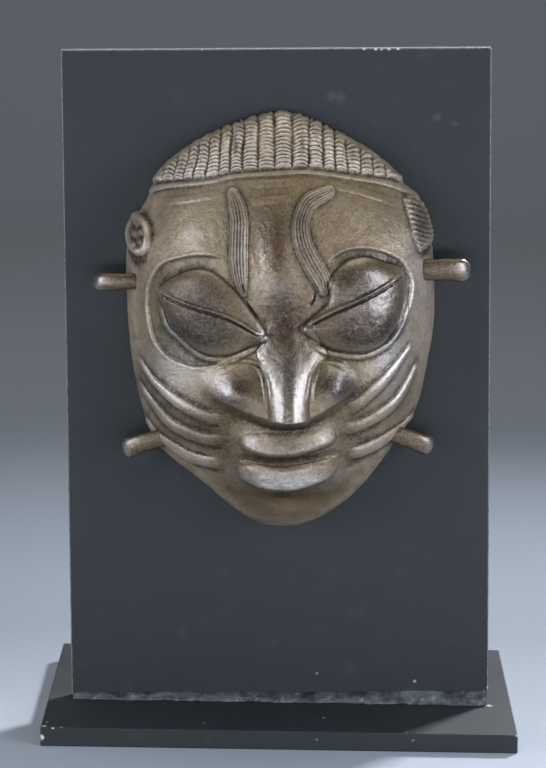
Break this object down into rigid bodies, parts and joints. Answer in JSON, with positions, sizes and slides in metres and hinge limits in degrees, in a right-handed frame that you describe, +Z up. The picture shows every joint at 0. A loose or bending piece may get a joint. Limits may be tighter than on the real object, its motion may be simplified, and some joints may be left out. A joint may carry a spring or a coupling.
{
  "type": "brass maskette on a display stand",
  "caption": "Hollow cast brass face mask with heavy-lidded eyes, cheek bars, braided hair and suspension loops, on a black upright board glued to a foot plate.",
  "frame": {"origin": "middle of the foot plate's underside", "axes": "+Z up, -Y the way the face looks, +X the viewer's right when looking at the face"},
  "size_m": [0.2134, 0.1587, 0.3109],
  "materials": {
    "patinated_brass": "old cast brass, brown and olive patina, worn bright on the high points",
    "black_board": "satin black paint, dusty",
    "black_base": "satin black paint, dusty",
    "black_adhesive": "lumpy set adhesive"
  },
  "bodies": {
    "root": {"maskette": "patinated_brass", "backboard": "black_board", "base": "black_base", "glue": "black_adhesive"}
  },
  "joints": []
}
